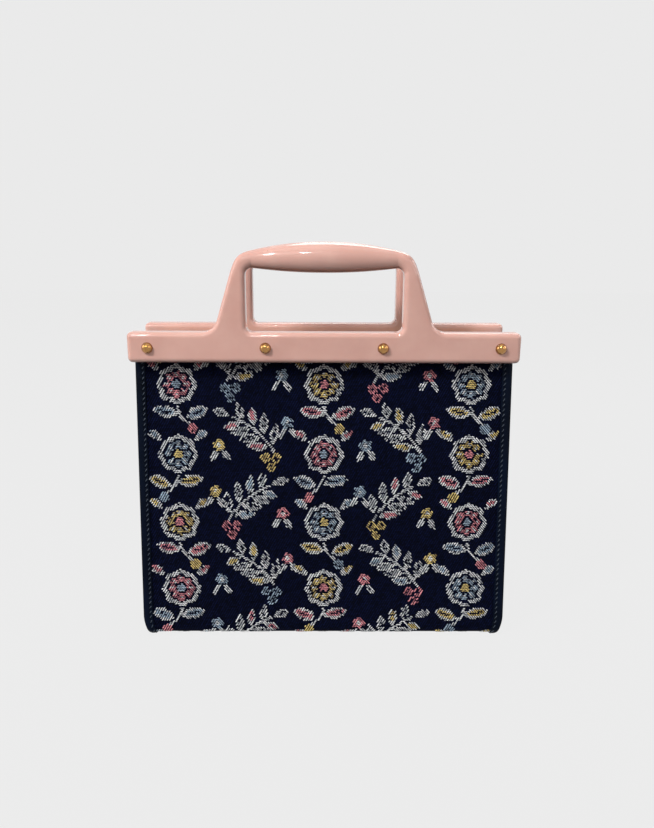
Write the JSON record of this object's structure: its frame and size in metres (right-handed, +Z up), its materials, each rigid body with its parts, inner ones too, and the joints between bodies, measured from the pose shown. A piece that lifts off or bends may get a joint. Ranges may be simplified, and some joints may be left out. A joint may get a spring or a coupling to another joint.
{
  "type": "tote bag",
  "caption": "Structured tote bag with twin moulded pink handle frames, domed brass studs, a dark floral jacquard body and navy leather side gussets.",
  "frame": {"origin": "on the floor, under the middle of the bag's base", "axes": "+X across the bag to its right seen from the front, +Y from the front panel to the back panel, +Z up to the grips"},
  "size_m": [0.2584, 0.0822, 0.2722],
  "materials": {
    "rose_resin": "moulded resin, polished, dusty pink",
    "polished_brass": "turned and polished",
    "satin_brass": "flat bar, satin",
    "navy_jacquard": "jacquard ground weave, nearly black navy",
    "ivory_yarn": "floating weft yarn, ivory",
    "gold_yarn": "floating weft yarn, old gold",
    "rose_yarn": "floating weft yarn, rose",
    "slate_yarn": "floating weft yarn, slate blue",
    "navy_leather": "smooth leather with painted edges, dark navy",
    "lining_twill": "plain twill lining",
    "grey_board": "stiff grey board"
  },
  "bodies": {
    "root": {"front_frame": "rose_resin", "back_frame": "rose_resin", "front_studs": "polished_brass", "back_studs": "polished_brass", "front_stud_screws": "polished_brass", "back_stud_screws": "polished_brass", "front_clamp_bar": "satin_brass", "back_clamp_bar": "satin_brass", "jacquard_body": "navy_jacquard", "left_gusset": "navy_leather", "right_gusset": "navy_leather", "left_edge_strip": "navy_leather", "right_edge_strip": "navy_leather", "lining": "lining_twill", "base_board": "grey_board", "ivory_floats": "ivory_yarn", "gold_floats": "gold_yarn", "rose_floats": "rose_yarn", "slate_floats": "slate_yarn"}
  },
  "joints": []
}
